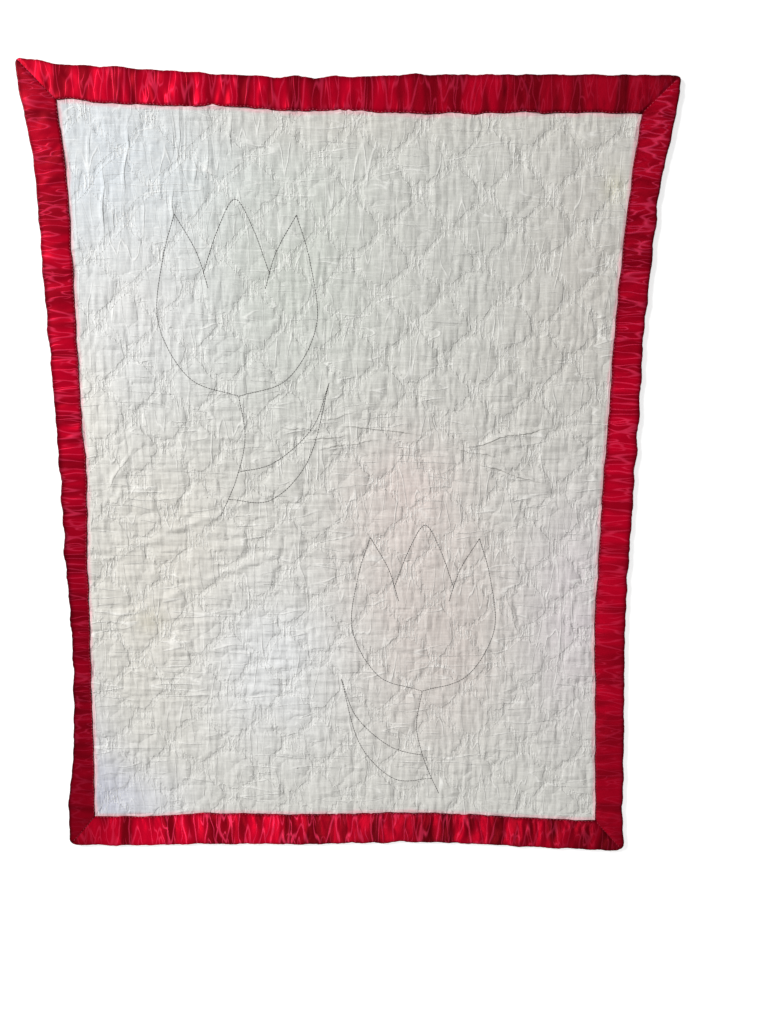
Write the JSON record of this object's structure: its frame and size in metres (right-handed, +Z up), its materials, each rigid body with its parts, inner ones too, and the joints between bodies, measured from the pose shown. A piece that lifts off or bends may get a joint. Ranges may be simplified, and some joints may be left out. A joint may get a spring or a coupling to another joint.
{
  "type": "crib quilt",
  "caption": "Small rectangular quilt lying flat, back up: off-white diamond-quilted cotton with a wide red satin binding folded over its edges and mitred at the corners.",
  "frame": {"origin": "centre of the quilt's outline, on the surface that it lies on", "axes": "+Z up out of the plain back, +Y towards the quilt's top edge, +X to the right in the picture"},
  "size_m": [0.9444, 1.2104, 0.0087],
  "materials": {
    "cotton": "matte plain-weave quilted cotton, washed and puckered",
    "satin": "glossy satin blanket binding, gathered"
  },
  "bodies": {
    "root": {"panel": "cotton", "binding_bottom": "satin", "binding_right": "satin", "binding_top": "satin", "binding_left": "satin"}
  },
  "joints": []
}
